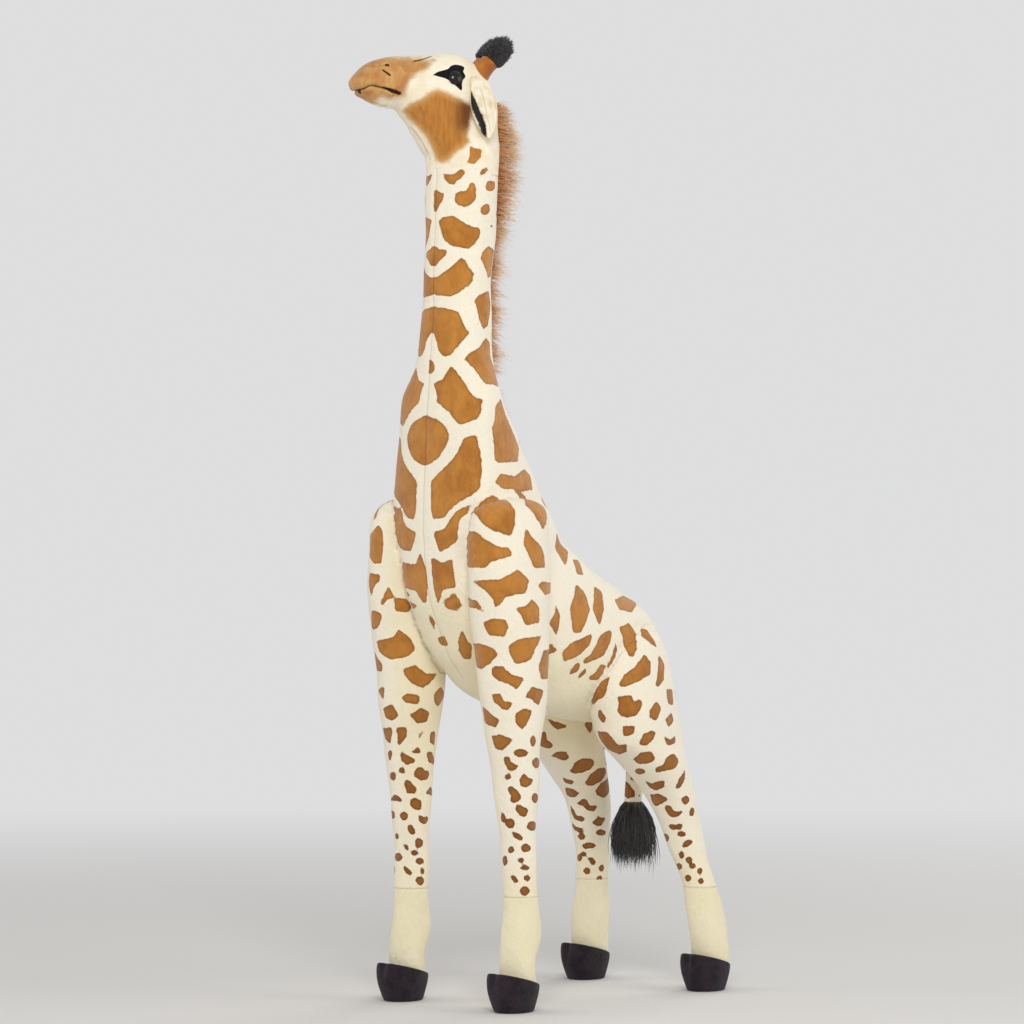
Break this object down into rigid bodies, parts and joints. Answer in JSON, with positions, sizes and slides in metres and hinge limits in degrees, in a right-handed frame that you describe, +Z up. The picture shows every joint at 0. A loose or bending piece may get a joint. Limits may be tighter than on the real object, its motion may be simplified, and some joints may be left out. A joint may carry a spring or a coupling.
{
  "type": "plush giraffe",
  "caption": "Large standing stuffed giraffe with a spotted plush coat, a hair mane, soft horns, hanging ears, a tufted tail and stiff rod-framed legs that hold it upright.",
  "frame": {"origin": "centre of the whole outline, on the floor that the soles stand on", "axes": "+Z up, +Y towards the tail, +X towards the giraffe's left"},
  "size_m": [0.307, 0.587, 1.3996],
  "materials": {
    "spotted_plush": "short pile, tan patches on cream",
    "cream_plush": "short pile",
    "tan_plush": "short pile",
    "mane_hair": "long pile with pale tips",
    "black_hair": "long pile",
    "hoof_plush": "short dense pile",
    "black_felt": "felt",
    "eye_plastic": "polished",
    "washer_plastic": "moulded",
    "frame_steel": "drawn",
    "foot_board": "pressed board"
  },
  "bodies": {
    "torso": {"torso": "spotted_plush", "neck_lower": "spotted_plush", "body_frame": "frame_steel", "neck_rod": "frame_steel", "mane_neck": "mane_hair", "leg_front_left": "spotted_plush", "leg_front_right": "spotted_plush", "leg_hind_left": "spotted_plush", "leg_hind_right": "spotted_plush", "sock_front_left": "cream_plush", "sock_front_right": "cream_plush", "sock_hind_left": "cream_plush", "sock_hind_right": "cream_plush", "hoof_front_left": "hoof_plush", "hoof_front_right": "hoof_plush", "hoof_hind_left": "hoof_plush", "hoof_hind_right": "hoof_plush", "foot_plate_front_left": "foot_board", "foot_plate_front_right": "foot_board", "foot_plate_hind_left": "foot_board", "foot_plate_hind_right": "foot_board", "leg_rod_front_left": "frame_steel", "leg_rod_front_right": "frame_steel", "leg_rod_hind_left": "frame_steel", "leg_rod_hind_right": "frame_steel"},
    "neck_top": {"neck_top": "spotted_plush"},
    "head": {"head": "spotted_plush", "muzzle": "tan_plush", "head_wire": "frame_steel", "mane_crown": "mane_hair", "eye_left": "eye_plastic", "eye_right": "eye_plastic", "eye_washer_left": "washer_plastic", "eye_washer_right": "washer_plastic", "eye_patch_left": "black_felt", "eye_patch_right": "black_felt", "ossicone_left": "tan_plush", "ossicone_right": "tan_plush", "ossicone_tuft_left": "black_hair", "ossicone_tuft_right": "black_hair"},
    "ear_left": {"ear_left": "spotted_plush", "ear_lining_left": "cream_plush"},
    "ear_right": {"ear_right": "spotted_plush", "ear_lining_right": "cream_plush"},
    "tail_base": {"tail_base": "spotted_plush"},
    "tail": {"tail": "spotted_plush", "tail_tuft": "black_hair"}
  },
  "joints": [
    {"name": "neck_turn", "type": "hinge", "parent": "torso", "child": "neck_top", "pos_m": [0, -0.1428, 1.18123], "axis": [0, 0, 1], "range_deg": [-6, 64]},
    {"name": "head_nod", "type": "hinge", "parent": "neck_top", "child": "head", "pos_m": [0, -0.1428, 1.27297], "axis": [0.8746, -0.4848, 0], "range_deg": [-8, 18]},
    {"name": "ear_left_flop", "type": "hinge", "parent": "head", "child": "ear_left", "pos_m": [0.04344, -0.16098, 1.3322], "axis": [-0.4848, -0.8746, 0], "range_deg": [0, 75]},
    {"name": "ear_right_flop", "type": "hinge", "parent": "head", "child": "ear_right", "pos_m": [-0.03844, -0.1156, 1.3322], "axis": [0.4848, 0.8746, 0], "range_deg": [0, 75]},
    {"name": "tail_lift", "type": "hinge", "parent": "torso", "child": "tail_base", "pos_m": [0, 0.2236, 0.54], "axis": [1, 0, 0], "range_deg": [0, 80]},
    {"name": "tail_sway", "type": "hinge", "parent": "tail_base", "child": "tail", "pos_m": [0, 0.24435, 0.495], "axis": [0, 1, 0], "range_deg": [-5, 5]}
  ]
}
